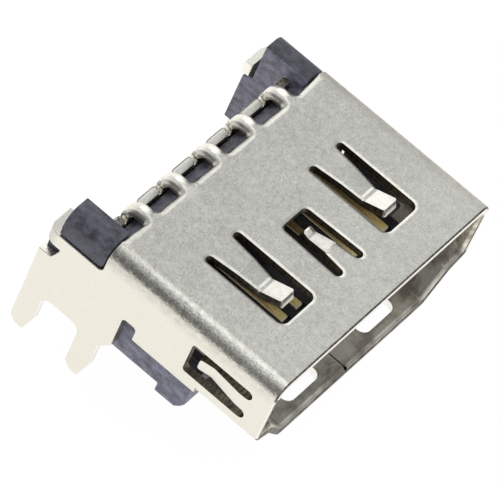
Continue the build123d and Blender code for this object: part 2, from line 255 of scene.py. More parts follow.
def axes(tree, place):
    """The three Object coordinates, each as a value in metres."""
    split = tree.nodes.new("ShaderNodeSeparateXYZ")
    tree.links.new(place, split.inputs["Vector"])
    return split.outputs["X"], split.outputs["Y"], split.outputs["Z"]


def stretched(tree, place, scale):
    """Object coordinates scaled by axis, for marks that run one way."""
    node = tree.nodes.new("ShaderNodeMapping")
    node.inputs["Scale"].default_value = scale
    tree.links.new(place, node.inputs["Vector"])
    return node.outputs["Vector"]


def grain(tree, place, cell, detail=3.0):
    """Noise whose grains are about one cell wide, in metres."""
    noise = tree.nodes.new("ShaderNodeTexNoise")
    noise.inputs["Scale"].default_value = 1.0 / cell
    noise.inputs["Detail"].default_value = detail
    tree.links.new(place, noise.inputs["Vector"])
    return noise.outputs["Fac"]


def span(tree, value, low, high, bottom, top):
    """Map a value from low..high to bottom..top."""
    node = tree.nodes.new("ShaderNodeMapRange")
    node.inputs["From Min"].default_value = low
    node.inputs["From Max"].default_value = high
    node.inputs["To Min"].default_value = bottom
    node.inputs["To Max"].default_value = top
    tree.links.new(value, node.inputs["Value"])
    return node.outputs["Result"]


def rise(tree, value, start, end):
    """A mask that goes from 0 at start to 1 at end."""
    return span(tree, value, start, end, 0.0, 1.0)


def by_noise(tree, noise, bottom, top):
    """Spread a noise over bottom..top."""
    return span(tree, noise, NOISE_LOW, NOISE_HIGH, bottom, top)


def maths(tree, operation, first, second=0.0):
    """One Math node on a value and a number or another value."""
    node = tree.nodes.new("ShaderNodeMath")
    node.operation = operation
    tree.links.new(first, node.inputs[0])
    if isinstance(second, bpy.types.NodeSocket):
        tree.links.new(second, node.inputs[1])
    else:
        node.inputs[1].default_value = second
    return node.outputs["Value"]


def total(tree, first, *others):
    """A value with numbers or other values added to it."""
    for other in others:
        first = maths(tree, "ADD", first, other)
    return first


def product(tree, first, *others):
    """A value multiplied by numbers or other values."""
    for other in others:
        first = maths(tree, "MULTIPLY", first, other)
    return first


def largest(tree, first, *others):
    """The largest of some values."""
    for other in others:
        first = maths(tree, "MAXIMUM", first, other)
    return first


def away_from(tree, value, place=0.0):
    """How far a value lies from a place, on either side."""
    if place:
        value = maths(tree, "SUBTRACT", value, place)
    return maths(tree, "ABSOLUTE", value)


def tint(tree, value, dark, light):
    """Blend two colours by a value; each is a plain colour or the output of a node."""
    node = tree.nodes.new("ShaderNodeMix")
    node.data_type = "RGBA"
    for name, colour in (("A", dark), ("B", light)):
        if isinstance(colour, bpy.types.NodeSocket):
            tree.links.new(colour, node.inputs[name])
        else:
            node.inputs[name].default_value = (*colour, 1.0)
    tree.links.new(value, node.inputs["Factor"])
    return node.outputs["Result"]


def scaled(tree, colour, value):
    """A colour made brighter or darker by a value."""
    node = tree.nodes.new("ShaderNodeVectorMath")
    node.operation = "SCALE"
    tree.links.new(colour, node.inputs["Vector"])
    tree.links.new(value, node.inputs["Scale"])
    return node.outputs["Vector"]


def shade(colour, factors):
    """A plain colour multiplied by one number, or by one for each channel."""
    if isinstance(factors, float):
        factors = (factors,) * 3
    return tuple(channel * factor for channel, factor in zip(colour, factors))


def give_skin(tree, shader, colour, roughness, metallic):
    """Link a shader's colour and roughness, and set its one level of metal."""
    tree.links.new(colour, shader.inputs["Base Color"])
    tree.links.new(roughness, shader.inputs["Roughness"])
    shader.inputs["Metallic"].default_value = metallic


def relief(tree, shader, height):
    """Bump from a height in metres."""
    node = tree.nodes.new("ShaderNodeBump")
    node.inputs["Distance"].default_value = 1.0
    node.inputs["Strength"].default_value = 1.0
    tree.links.new(height, node.inputs["Height"])
    tree.links.new(node.outputs["Normal"], shader.inputs["Normal"])


# Finishes of the shell

def tin_tone_and_painted_light(tree, place, grains, upper, left_fold):
    """How light the tin is, 0 to 1: mottled most on the left fold, with painted shade towards the rear,
    painted light towards the right, painted highlights in the rear bends and on the walls, a painted
    highlight on the right hook and painted shade on the left one.
    """
    x, y, z = axes(tree, place)
    fine, patch = grains
    broad = grain(tree, place, 1.5 * MM, 4.0)
    mottle = total(tree, product(tree, fine, 0.8), patch, product(tree, broad, 0.35), -1.075)
    amount = span(tree, total(tree, upper, left_fold), 0.0, 2.0, 0.12, 1.25)
    # Painted light and shade: the walls lighter than the roof, the roof darker towards the rear and lighter
    # to the right, the rear bends lit, the right hook lit and the left hook shaded
    walls = span(tree, upper, 0.0, 1.0, 0.26, 0.0)
    painted_light_along_y = span(tree, y, 1.0 * MM, 8.5 * MM, 0.01, -0.29)
    bends = span(tree, y, 9.2 * MM, 9.5 * MM, 0.0, 0.70)
    painted_light_rightward = span(tree, x, -5.0 * MM, 6.5 * MM, -0.04, 0.16)
    hooks = product(tree, rise(tree, y, HOOK_BEND, HOOK_BEND + 0.4 * MM),
                    rise(tree, z, HOOK_LOW, HOOK_LOW + 0.3 * MM),
                    span(tree, x, -1.0 * MM, 1.0 * MM, -0.45, 0.35))
    painted_light_slopes = product(tree, total(tree, painted_light_along_y, bends, painted_light_rightward), upper)
    level = total(tree, product(tree, mottle, amount), walls, painted_light_slopes, hooks)
    return rise(tree, level, -0.5, 0.5)


def tin_lean(tree, x, y):
    """Height of the roof where it leans into its rear bends and where the tool marked the long springs."""
    sag_start = sizes().sag_start
    sag = span(tree, y, sag_start, sag_start + 0.9 * MM, 0.0, -0.18 * MM)
    sag.node.interpolation_type = "SMOOTHSTEP"
    mark_depth = 0.035 * MM
    mark = total(tree, span(tree, y, LONG_NOSE_BEND - 0.12 * MM, LONG_NOSE_BEND, 0.0, -mark_depth),
                 span(tree, y, LONG_NOSE_BEND, 5.50 * MM, 0.0, mark_depth))
    off_spring = away_from(tree, away_from(tree, x), LONG_SPRING)
    on_spring = span(tree, off_spring, LONG_SPRING_HALF, LONG_SPRING_HALF + 0.05 * MM, 1.0, 0.0)
    return total(tree, sag, product(tree, mark, on_spring))


def tin_plate():
    """Matt tin on steel: fine grain on the roof, coarse where the sheet is folded."""
    material, tree, shader = new_material("tin_plate")
    place = place_of(tree)
    x, y, z = axes(tree, place)
    fine = grain(tree, place, 0.09 * MM, 2.0)
    patch = grain(tree, place, 0.25 * MM, 3.0)
    upper = rise(tree, z, ROOF - 1.1 * MM, ROOF - 0.3 * MM)
    left_fold = product(tree, upper, rise(tree, x, SHELL_LOW.x + 0.95 * MM, SHELL_LOW.x + 0.55 * MM))
    right_fold = product(tree, rise(tree, x, FLAT_HALF, FLAT_HALF + 0.20 * MM),
                         rise(tree, z, ROOF - 0.6 * MM, ROOF - 0.4 * MM))
    # The tone holds painted light and shade besides the tin's mottle
    tone = tin_tone_and_painted_light(tree, place, (fine, patch), upper, left_fold)
    tin = colours().tin
    colour = tint(tree, tone, shade(tin, 0.62), shade(tin, 1.16))
    roughness = total(tree, by_noise(tree, fine, 0.24, 0.36), product(tree, right_fold, 0.45))
    give_skin(tree, shader, colour, roughness, 1.0)
    depth = span(tree, left_fold, 0.0, 1.0, 0.004 * MM, 0.015 * MM)
    rough = product(tree, total(tree, fine, patch), depth)
    relief(tree, shader, total(tree, product(tree, tin_lean(tree, x, y), upper), rough))
    return material


def blanked_steel(name, tone, scale):
    """Blanked faces: darker, with faint tear marks and a thin bright line at mid thickness."""
    material, tree, shader = new_material(name)
    place = place_of(tree)
    marks = grain(tree, stretched(tree, place, scale), 0.16 * MM, 4.0)
    mid_thickness = ROOF - 0.22 * MM
    off_line = away_from(tree, axes(tree, place)[2], mid_thickness)
    line = span(tree, off_line, 0.012 * MM, 0.04 * MM, 0.45, 0.0)
    level = total(tree, span(tree, marks, 0.35, 0.68, 0.0, 0.75), line)
    colour = tint(tree, level, shade(tone, 0.45), shade(tone, 2.0))
    give_skin(tree, shader, colour, by_noise(tree, marks, 0.5, 0.32), 1.0)
    relief(tree, shader, product(tree, marks, 0.012 * MM))
    return material


def rubbed_tin(name, dark, light):
    """Faces that the tool rubbed, with fine lines, and brighter tin used as painted light."""
    material, tree, shader = new_material(name)
    lines = grain(tree, place_of(tree), 0.09 * MM)
    give_skin(tree, shader, tint(tree, lines, dark, light), by_noise(tree, lines, 0.25, 0.4), 1.0)
    relief(tree, shader, product(tree, lines, 0.002 * MM))
    return material


def spring_tip():
    """The middle spring's nose: worn round along its edges, brighter than the roof tin, partly rubbed and
    partly a painted highlight, with painted shade in the bend behind it.
    """
    material, tree, shader = new_material("spring_tip")
    place = place_of(tree)
    x, y = axes(tree, place)[:2]
    lines = grain(tree, place, 0.09 * MM)
    skin = tint(tree, lines, (0.90, 0.86, 0.79), (1.0, 0.96, 0.89))
    # Painted shade darkens the bend behind the nose
    painted_crease_shade = span(tree, y, MIDDLE_NOSE_BEND - 0.03 * MM, MIDDLE_NOSE_BEND + 0.03 * MM, 0.35, 1.0)
    give_skin(tree, shader, scaled(tree, skin, painted_crease_shade), by_noise(tree, lines, 0.25, 0.4), 1.0)
    sides = span(tree, away_from(tree, x), 0.12 * MM, 0.27 * MM, 0.0, -0.05 * MM)
    end = span(tree, y, 4.33 * MM, 4.46 * MM, 0.0, -0.07 * MM)
    relief(tree, shader, total(tree, sides, end))
    return material


def drawn_tin():
    """Inner faces of the mouth: duller tin in soft clouds, greyer on the left and browner on the right, with
    painted light deeper in and painted shade by the left wall.
    """
    material, tree, shader = new_material("drawn_tin")
    place = place_of(tree)
    x, y = axes(tree, place)[:2]
    fine = grain(tree, place, 0.10 * MM)
    cloud = grain(tree, stretched(tree, place, (0.6, 1.0, 1.0)), 0.7 * MM)
    both = total(tree, product(tree, fine, 0.18), product(tree, cloud, 0.82))
    tin = colours().tin
    greyer, browner = shade(tin, (0.56, 0.55, 0.51)), shade(tin, (0.50, 0.45, 0.42))
    dull = tint(tree, rise(tree, x, -4.0 * MM, 1.0 * MM), greyer, browner)
    skin = tint(tree, rise(tree, both, 0.40, 0.62), dull, shade(tin, (1.15, 1.15, 1.12)))
    # Painted light: lighter deeper in the mouth, with painted shade near the left wall
    painted_light_inward = span(tree, y, 0.3 * MM, 1.8 * MM, 0.95, 1.1)
    painted_light_rightward = span(tree, x, -6.6 * MM, -4.6 * MM, 0.78, 1.0)
    colour = scaled(tree, skin, product(tree, painted_light_inward, painted_light_rightward))
    give_skin(tree, shader, colour, by_noise(tree, cloud, 0.58, 0.42), 1.0)
    relief(tree, shader, product(tree, fine, 0.006 * MM))
    return material


def shell_finishes():
    """The shell's materials, in the order of their places from TIN to SPRING_TIP."""
    steel = colours().steel
    along_sheet, down_sheet = (1.0, 1.0, 0.3), (0.3, 1.0, 1.0)
    return [
        tin_plate(),
        blanked_steel("blanked_roof", steel, along_sheet),
        # Painted light: the wall windows' cut faces take steel made 2.6 times lighter, standing in for light
        # in their shade
        blanked_steel("blanked_wall_painted_light", shade(steel, 2.6), down_sheet),
        drawn_tin(),
        # Painted light: this bright tin, partly the burnish of cut faces, paints highlights on the mouth's
        # front, the leg fronts and the floor windows' cuts, and lifts the roof's underside
        rubbed_tin("burnished_tin_painted_light", dark=(0.94, 0.92, 0.88), light=(1.0, 0.99, 0.96)),
        # Painted shade: the seam's faces take steel darkened to nearly black, for the shade in the narrow
        # gap
        blanked_steel("seam_gap_painted_shade", shade(steel, 0.12), along_sheet),
        # Painted shade: the mouth's rim takes a darker copy of the blanked steel, which dulls the floor's
        # reflection and paints dark lines
        blanked_steel("blanked_rim_painted_shade", shade(steel, 0.75), down_sheet),
        rubbed_tin("bend_cheek", dark=(0.45, 0.43, 0.40), light=(0.80, 0.77, 0.72)),
        spring_tip(),
    ]


# Finishes of the housing and of the contacts

def painted_plastic_light(tree, place):
    """Painted light and shade on the moulding: painted light on the rail faces and on the right wing's
    cheek, painted shade on the right wing's top, and painted shade inside the mouth.
    """
    x, y, z = axes(tree, place)
    # Painted shade under the shell, lifted towards the rear, at the sides and below it
    shadow = 0.28
    painted_light_along_y = span(tree, y, 8.4 * MM, 8.8 * MM, shadow, 1.0)
    aside = span(tree, away_from(tree, x), 5.8 * MM, 6.0 * MM, shadow, 1.0)
    below = span(tree, z, 0.2 * MM, 0.5 * MM, 1.0, shadow)
    painted_rail_light = span(tree, z, 1.2 * MM, 2.2 * MM, 2.5, 0.95)
    cheek = span(tree, away_from(tree, x, WING_CHEEK), 0.01 * MM, 0.02 * MM, 2.35, 0.0)
    painted_wing_top_shade = product(tree, span(tree, x, WING_CHEEK, WING_CHEEK + 0.03 * MM, 0.0, -0.2),
                       rise(tree, z, 5.0 * MM, 5.2 * MM))
    open_to_light = largest(tree, painted_light_along_y, aside, below)
    return product(tree, open_to_light, total(tree, largest(tree, painted_rail_light, cheek), painted_wing_top_shade))


def moulded_plastic():
    """Slate moulding: satin skin, flow marks and scuffs."""
    material, tree, shader = new_material("slate_plastic")
    place = place_of(tree)
    fine = grain(tree, place, 0.06 * MM)
    flow = grain(tree, stretched(tree, place, (1.0, 0.6, 1.0)), 0.30 * MM, 5.0)
    scratches = grain(tree, stretched(tree, place, (0.3, 1.0, 1.0)), 0.10 * MM, 4.0)
    scuffs = span(tree, scratches, 0.60, 0.72, 0.0, 0.45)
    level = rise(tree, total(tree, flow, product(tree, fine, 0.45)), 0.52, 0.92)
    plastic = colours().plastic
    skin = tint(tree, total(tree, level, scuffs), shade(plastic, 0.42), shade(plastic, 1.62))
    # The moulding's colour is scaled by painted light and shade
    colour = scaled(tree, skin, painted_plastic_light(tree, place))
    give_skin(tree, shader, colour, by_noise(tree, flow, 0.36, 0.58), 0.0)
    relief(tree, shader, product(tree, total(tree, fine, flow), 0.012 * MM))
    return material


def blade_wear(tree, place):
    """Marks along the blades, where plugs rubbed them."""
    return grain(tree, stretched(tree, place, (1.0, 0.3, 1.0)), 0.15 * MM)


def blade_edge_highlight():
    """Rubbed gold on the long edges of the blades, made pale and matt as a painted highlight."""
    material, tree, shader = new_material("blade_edge_highlight")
    wear = blade_wear(tree, place_of(tree))
    # Painted highlight: pale matt gold that stays bright in the slot's shade
    white_part = 0.45
    pale = tuple(white_part + (1.0 - white_part) * channel for channel in colours().gold)
    colour = tint(tree, by_noise(tree, wear, 0.0, 1.0), shade(pale, 0.92), pale)
    give_skin(tree, shader, colour, by_noise(tree, wear, 0.4, 0.25), 0.0)
    return material


def gold_flash(name, level):
    """Gold on the blades with painted light at the tips and painted shade further in, darkened as a whole by
    level, and matt tin on the tails.
    """
    material, tree, shader = new_material(name)
    place = place_of(tree)
    y = axes(tree, place)[1]
    fine = grain(tree, place, 0.05 * MM)
    wear = rise(tree, blade_wear(tree, place), 0.35, 0.65)
    gold = tint(tree, wear, shade(colours().gold, 0.7), shade(colours().gold, 1.1))
    # Painted light and shade: brighter at the blade tips, darker further into the slots
    tip, slot_middle, slot_end = 2.6 * MM, 4.0 * MM, 5.5 * MM
    depth = total(tree, span(tree, y, tip, slot_middle, 1.7, 0.52),
                  span(tree, y, slot_middle, slot_end, 0.0, -0.18))
    plated_to = COMB_FRONT - 0.5 * MM
    tinned = rise(tree, y, plated_to, plated_to + 0.2 * MM)
    colour = tint(tree, tinned, scaled(tree, gold, product(tree, depth, level)), colours().tin)
    give_skin(tree, shader, colour, by_noise(tree, fine, 0.38, 0.5), 0.3)
    relief(tree, shader, product(tree, fine, 0.002 * MM))
    return material


# Modelling helpers

def pick_nothing():
    bpy.ops.object.select_all(action="DESELECT")


@contextmanager
def edit_mode():
    """Edit mode for the steps inside, with nothing left selected."""
    bpy.ops.object.mode_set(mode="EDIT")
    yield
    bpy.ops.mesh.select_all(action="DESELECT")
    bpy.ops.object.mode_set(mode="OBJECT")


@contextmanager
def mesh_of(piece):
    """The piece's mesh as edges that know the faces beside them."""
    mesh = bmesh.new()
    mesh.from_mesh(piece.data)
    yield mesh
    mesh.free()


def copy_of(node, name):
    """A merged copy of a CAD node, with its flat faces whole, as a new piece."""
    pick_nothing()
    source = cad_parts[node]
    source.select_set(True)
    bpy.context.view_layer.objects.active = source
    bpy.ops.object.duplicate()
    piece = bpy.context.view_layer.objects.active
    piece.name = name
    piece.data.name = name
    for key in [key for key in piece.keys() if key.startswith("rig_")]:
        del piece[key]
    piece.parent = None
    with edit_mode():
        bpy.ops.mesh.select_all(action="SELECT")
        bpy.ops.mesh.remove_doubles(threshold=MERGE)
        bpy.ops.mesh.dissolve_limited(angle_limit=FLAT)
    return piece


def is_sharp(edge):
    """Whether an edge is a corner of the piece."""
    return len(edge.link_faces) == 2 and edge.calc_face_angle() > SHARP


def weigh_edges(piece, weight_of):
    """Give each sharp edge the bevel weight that weight_of returns for it."""
    with mesh_of(piece) as mesh:
        layer = mesh.edges.layers.float.new("bevel_weight_edge")
        for edge in filter(is_sharp, mesh.edges):
            edge[layer] = weight_of(edge)
        mesh.to_mesh(piece.data)


def select_parts(piece, kind, wanted):
    """Select the faces, edges or points that wanted accepts, and nothing else."""
    with edit_mode():
        bpy.ops.mesh.select_mode(type=kind)
    parts = {"FACE": piece.data.polygons, "EDGE": piece.data.edges, "VERT": piece.data.vertices}
    for part in parts[kind]:
        part.select = wanted(part)


def bevel_where(piece, wanted, width, segments):
    """Round the sharp edges that wanted accepts."""
    with mesh_of(piece) as mesh:
        chosen = {edge.index for edge in mesh.edges if is_sharp(edge) and wanted(edge)}
    select_parts(piece, "EDGE", lambda edge: edge.index in chosen)
    with edit_mode():
        bpy.ops.mesh.bevel(offset=width, segments=segments, affect="EDGES", clamp_overlap=False)


def cut_across(place, normal):
    """Add an edge line where a plane crosses the active piece."""
    with edit_mode():
        bpy.ops.mesh.select_all(action="SELECT")
        bpy.ops.mesh.bisect(plane_co=place, plane_no=normal)


def move_points(piece, wanted, move):
    """Move the points that wanted accepts."""
    select_parts(piece, "VERT", wanted)
    with edit_mode():
        bpy.ops.transform.translate(value=move)


def near(value, place):
    return abs(value - place) < NEAR


def within(value, limits):
    return limits[0] < value < limits[1]


def key_of(point):
    """A point's place to a ten-thousandth of a millimetre, to know it again."""
    return tuple(round(value / MM, 4) for value in point)


def round_edges(piece, width, segments=3):
    """Bevel the weighted edges and keep the flat faces flat."""
    pick_nothing()
    piece.select_set(True)
    bpy.context.view_layer.objects.active = piece
    bevel = piece.modifiers.new("Edge rounding", "BEVEL")
    bevel.limit_method = "WEIGHT"
    bevel.width = width
    bevel.segments = segments
    bevel.use_clamp_overlap = False
    bevel.miter_outer = "MITER_ARC"
    bpy.ops.object.modifier_apply(modifier=bevel.name)
    bpy.ops.object.shade_smooth_by_angle(angle=SMOOTH)
    normals = piece.modifiers.new("Flat faces", "WEIGHTED_NORMAL")
    normals.keep_sharp = True
    bpy.ops.object.modifier_apply(modifier=normals.name)


def dress(piece, node, materials, finish_of):
    """Give a piece its materials and let it stand for its CAD node."""
    piece.data.materials.clear()
    for material in materials:
        piece.data.materials.append(material)
    for face in piece.data.polygons:
        face.material_index = finish_of(face)
    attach(piece, "root")
    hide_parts(node)


# Regions and edges of the shell

def on_flat_roof(centre, normal):
    """Whether a face is part of the roof's flat top, before the rear windows."""
    level = normal.z > 0.995 and centre.z > ROOF - 0.1 * MM
    return level and abs(centre.x) < FLAT_HALF and centre.y < ROLL_CHANGE


def on_opening(point):
    """Whether a point of the flat roof's border can be on an opening."""
    return abs(point.x) < FLAT_HALF and SHELL_LOW.y + 0.1 * MM < point.y < ROLL_CHANGE


def roll_openings(piece, width, depth):
    """Draw down a band along the openings of the roof, as a punch does."""
    rim, creases = set(), set()
    with mesh_of(piece) as mesh:
        for edge in mesh.edges:
            inside = [face for face in edge.link_faces
                      if on_flat_roof(face.calc_center_median(), face.normal)]
            outside = [face for face in edge.link_faces if face not in inside]
            if len(inside) == 1 and outside:
                keys = [key_of(vertex.co) for vertex in edge.verts if on_opening(vertex.co)]
                drops_away = outside[0].normal.z < 0.3
                (rim if drops_away else creases).update(keys)
    rim -= creases
    select_parts(piece, "FACE", lambda face: on_flat_roof(face.center, face.normal))
    with edit_mode():
        bpy.ops.mesh.inset(thickness=width, depth=0.0, use_boundary=True, use_even_offset=True)
    move_points(piece, lambda point: key_of(point.co) in rim, (0.0, 0.0, -depth))


def middle_of(edge):
    return (edge.verts[0].co + edge.verts[1].co) / 2


def at_mouth(edge):
    """Whether an edge lies in the mouth plane."""
    return max(abs(vertex.co.y - SHELL_LOW.y) for vertex in edge.verts) < TOUCH


def beside_wall(edge, side):
    """Whether a face beside an edge looks away from the mouth's middle, or towards it for a side of -1."""
    away = middle_of(edge) - MOUTH
    return any(abs(face.normal.y) < 0.5 and side * face.normal.dot(away) > 0 for face in edge.link_faces)


def outer_rim(edge):
    return at_mouth(edge) and beside_wall(edge, 1)


def inner_rim(edge):
    """The mouth's inner edge under the roof, which is only broken."""
    return at_mouth(edge) and middle_of(edge).z > ROOF_BAND and beside_wall(edge, -1)


def lead_in(edge):
    """The rest of the mouth's inner edge, which is well rounded except at the seam."""
    middle = middle_of(edge)
    beside_seam = abs(middle.x) < SEAM_EDGE_HALF and middle.z < SEAM_EDGE_TOP
    return at_mouth(edge) and not beside_seam and middle.z < ROOF_BAND and beside_wall(edge, -1)


def notch(edge):
    """The edges of the notch's front face."""
    return all(near(vertex.co.y, NOTCH_FRONT) and any(near(vertex.co.z, height) for height in NOTCH_HEIGHTS)
               for vertex in edge.verts)


def wing_seat(edge):
    """The corner of the roof's cut-out under each wing."""
    return all(near(vertex.co.y, ROOF_END) and near(vertex.co.z, WING_SEAT) for vertex in edge.verts)


def on_outer_skin(point):
    """Whether a point lies on the outside of the roof or of its rear bends."""
    if point.y < REAR_BEND:
        return point.z > ROOF - NEAR
    return math.hypot(point.y - REAR_BEND, point.z - ROOF + BEND_RADIUS) > BEND_RADIUS - FACET_DEPTH


def rear_window(edge):
    """The outer edges of the rear windows and of the bridges between them."""
    return all(abs(vertex.co.x) < FLAT_HALF and vertex.co.y > ROLL_CHANGE and on_outer_skin(vertex.co)
               and vertex.co.z > APRON_EDGE + NEAR for vertex in edge.verts)


def apron_top(edge):
    """The apron's upper edge between the bridges."""
    return all(abs(vertex.co.x) < FLAT_HALF and near(vertex.co.y, REAR_BEND + BEND_RADIUS)
               and near(vertex.co.z, APRON_EDGE) for vertex in edge.verts)


def shell_weight(edge):
    """Bevel weight of the edges that are left: none at the mouth, slight before the rear windows."""
    if at_mouth(edge):
        return 0.0
    return 0.15 if min(vertex.co.y for vertex in edge.verts) < ROLL_CHANGE else 1.0


def rim_finish(face, outward):
    """Finish of a face at the mouth's rim: of its flat front, its inner rounding or its outer one. Bright
    tin paints highlights on it, and darker blanked steel paints shade and dark lines.
    """
    x, z = face.center.x, face.center.z
    above = z > RIM_CHANGE
    if face.normal.y < -0.985:
        return BURNISHED_PAINTED_LIGHT if above or (x > RIGHT_WALL and z > SHOULDER) else RIM_CUT_PAINTED_SHADE
    if outward <= 0:
        return RIM_CUT_PAINTED_SHADE if face.normal.y < -0.8 else DRAWN
    if above:
        return ROOF_CUT
    return BURNISHED_PAINTED_LIGHT if x < LEFT_WALL and z > SHOULDER else RIM_CUT_PAINTED_SHADE


def shell_finish(face):
    """Finish of a face of the shell, by its place and the way it looks."""
    x, y, z = face.center
    across, along, up = (abs(value) for value in face.normal)
    wide = abs(x)
    upper = z > ROOF_BAND
    at_nose_end = within(y, LONG_NOSE_END) or within(y, MIDDLE_NOSE_END)
    outward = face.normal.dot(Vector((x, 0.0, z)) - MOUTH)
    if y < RIM_DEPTH and face.normal.y < -0.2:
        return rim_finish(face, outward)
    # Painted shade: the seam's faces are painted black
    if wide < SEAM_HALF and z < FLOOR_TOP and up < 0.5:
        return SEAM_GAP_PAINTED_SHADE
    # Painted highlight on the floor windows' cut faces
    if within(wide, FLOOR_WINDOW) and z < FLOOR_TOP and up < 0.6:
        return BURNISHED_PAINTED_LIGHT
    if upper and wide < MIDDLE_NOSE_HALF and within(y, MIDDLE_NOSE) and up > 0.8:
        return SPRING_TIP
    if y > APRON_FRONT and within(z, APRON_LEDGE) and up > 0.8 and wide < APRON_HALF:
        # Painted shade: past APRON_CORNER the apron's ledge takes the dark blanked steel
        return ROOF_CUT if wide > APRON_CORNER else CHEEK
    if upper and along > 0.7 and at_nose_end and wide < SPRINGS_HALF:
        return TIN
    if upper and wide < CUTS_HALF and up < 0.6 and within(y, (LEAD_IN_FOOT, ROOF_CUTS_END)):
        return ROOF_CUT
    if upper and wide < CUTS_HALF and across > 0.6 and within(y, (ROOF_CUTS_END, BRIDGES_END)):
        return CHEEK
    # Painted light: the wall windows' cut faces take the lightened steel
    if wide > WALL_SKIN and across < 0.6 and within(z, WALL_WINDOW_HEIGHTS) and any(
            within(y, window) for window in WALL_WINDOWS):
        return WALL_CUT_PAINTED_LIGHT
    # Painted light: the leg fronts take the bright tin as a painted reflection, and the roof's underside
    # takes it to throw more light into the mouth
    leg_front = z < 0.0 and face.normal.y < -0.6
    roof_underside = face.normal.z < -0.9 and z > UNDERSIDE_LOW
    if leg_front or roof_underside:
        return BURNISHED_PAINTED_LIGHT
    inside = y < INSIDE_END and wide < INSIDE_HALF and z < INSIDE_TOP
    return DRAWN if outward < 0 and along < 0.5 and inside else TIN


class SOCKET_OT_shell(bpy.types.Operator):
    """Dress the folded shell: drawn-down openings, rounded mouth, blanked faces."""

    bl_idname = "socket.shell"
    bl_label = "Shell"

    def execute(self, context):
        widths = sizes()
        piece = copy_of("shell", "sheet_shell")
        cut_across((0.0, ROLL_CHANGE, 0.0), (0.0, 1.0, 0.0))
        for height in (SHOULDER, RIM_CHANGE):
            cut_across((0.0, 0.0, height), (0.0, 0.0, 1.0))
        roll_openings(piece, widths.roll_width, widths.roll_depth)
        bevel_where(piece, rear_window, widths.window_edge, segments=5)
        bevel_where(piece, apron_top, widths.apron_edge, segments=3)
        bevel_where(piece, outer_rim, widths.rim_edge, segments=3)
        bevel_where(piece, inner_rim, widths.cut_edge, segments=2)
        bevel_where(piece, lead_in, widths.lead_in, segments=5)
        bevel_where(piece, notch, widths.notch_corner, segments=4)
        bevel_where(piece, wing_seat, widths.wing_corner, segments=4)
        weigh_edges(piece, shell_weight)
        round_edges(piece, widths.cut_edge)
        dress(piece, "shell", shell_finishes(), shell_finish)
        return {"FINISHED"}


# Edges and points of the housing

def wing_corner(edge):
    """The lower front corner of each wing."""
    return all(near(vertex.co.y, WING_FRONT) and near(vertex.co.z, WING_LOW) for vertex in edge.verts)


def right_rail_front(point):
    """The front end of the right rail."""
    return point.co.x > RAIL_INNER and near(point.co.y, RAIL_FRONT)


class SOCKET_OT_housing(bpy.types.Operator):
    """Dress the housing and the comb with moulded edges, and close the gap before the right rail."""

    bl_idname = "socket.housing"
    bl_label = "Housing and comb"

    def execute(self, context):
        plastic = moulded_plastic()
        for node, name in (("housing", "moulded_housing"), ("tail_comb", "moulded_comb")):
            piece = copy_of(node, name)
            if node == "housing":
                move_points(piece, right_rail_front, (0.0, -RAIL_REACH, 0.0))
            bevel_where(piece, wing_corner, sizes().wing_corner, segments=4)
            weigh_edges(piece, lambda edge: 1.0)
            round_edges(piece, sizes().mould_edge)
            dress(piece, node, [plastic], lambda face: 0)
        return {"FINISHED"}


def contact_finish(face):
    """Finish of a face of a contact: rubbed gold with a painted highlight on the edges of the blade, painted
    shade on its flanks.
    """
    if face.center.y > BLADE_END or face.normal.z < -0.2:
        return GOLD
    if abs(face.normal.x) > 0.9:
        return FLANK_PAINTED_SHADE
    return RUBBED_EDGE_HIGHLIGHT if min(face.normal.x, face.normal.y) < -0.2 and face.normal.z > 0.2 else GOLD


class SOCKET_OT_contacts(bpy.types.Operator):
    """Dress the contacts of both rows."""

    bl_idname = "socket.contacts"
    bl_label = "Contacts"

    def execute(self, context):
        # The flanks' gold is darkened to 0.3 as painted shade
        finishes = [gold_flash("gold_flash", 1.0), blade_edge_highlight(), gold_flash("gold_flank_painted_shade", 0.3)]
        for node in UPPER_CONTACTS + LOWER_CONTACTS:
            piece = copy_of(node, node.replace("contact", "blade"))
            weigh_edges(piece, lambda edge: 1.0)
            round_edges(piece, sizes().contact_edge_highlight)
            dress(piece, node, finishes, contact_finish)
        return {"FINISHED"}


# Stage

CAMERA_PLACE = (-160.041 * MM, -46.437 * MM, 206.420 * MM)
CAMERA_TURN = (math.radians(36.536), math.radians(-16.086), math.radians(-51.292))
SENSOR = 36.0
LENS = 462.52

FLOOR_SIZE = 2.0
FLOOR_PAINT = (0.92, 0.92, 0.92, 1.0)
FLOOR_ROUGHNESS = 0.9
FLOOR_GLOW = 1.06
GLOW_SHARE = 0.9
WHITE = (1.0, 1.0, 1.0)
WARM_WHITE = (1.0, 0.985, 0.955)
BACKDROP = (0.8, 0.8, 0.8, 1.0)
LAMP_LEVEL = 0.80

# Each has its name, its direction from the socket, and its distance, width and height in metres
LAMPS = (
    ("top_strip", (0.12, 0.15, 0.98), 0.15, 0.075, 0.12),
    ("rear_softbox", (0.60, 0.62, 0.50), 0.12, 0.065, 0.09),
)
CEILING = ("ceiling", (0.0, 0.0, 1.0), 0.4, 4.0, 4.0)

# The same for each dark flag, and its colour
FLAGS = (
    ("left_flag", (-0.86, 0.18, 0.43), 0.10, 0.14, 0.09, (0.18, 0.18, 0.18)),
    ("right_flag", (0.95, -0.05, 0.30), 0.12, 0.12, 0.065, (0.20, 0.185, 0.17)),
    ("front_flag", (0.60, -0.77, 0.27), 0.12, 0.09, 0.06, (0.01, 0.01, 0.01)),
)


def make_camera():
    """The camera at the photograph's viewing angle."""
    data = bpy.data.cameras.new("view")
    data.sensor_width = SENSOR
    data.lens = LENS
    data.clip_start = 1.0 * MM
    data.clip_end = 10.0
    camera = bpy.data.objects.new("view", data)
    camera.location = CAMERA_PLACE
    camera.rotation_euler = CAMERA_TURN
    bpy.context.scene.collection.objects.link(camera)
    bpy.context.scene.camera = camera


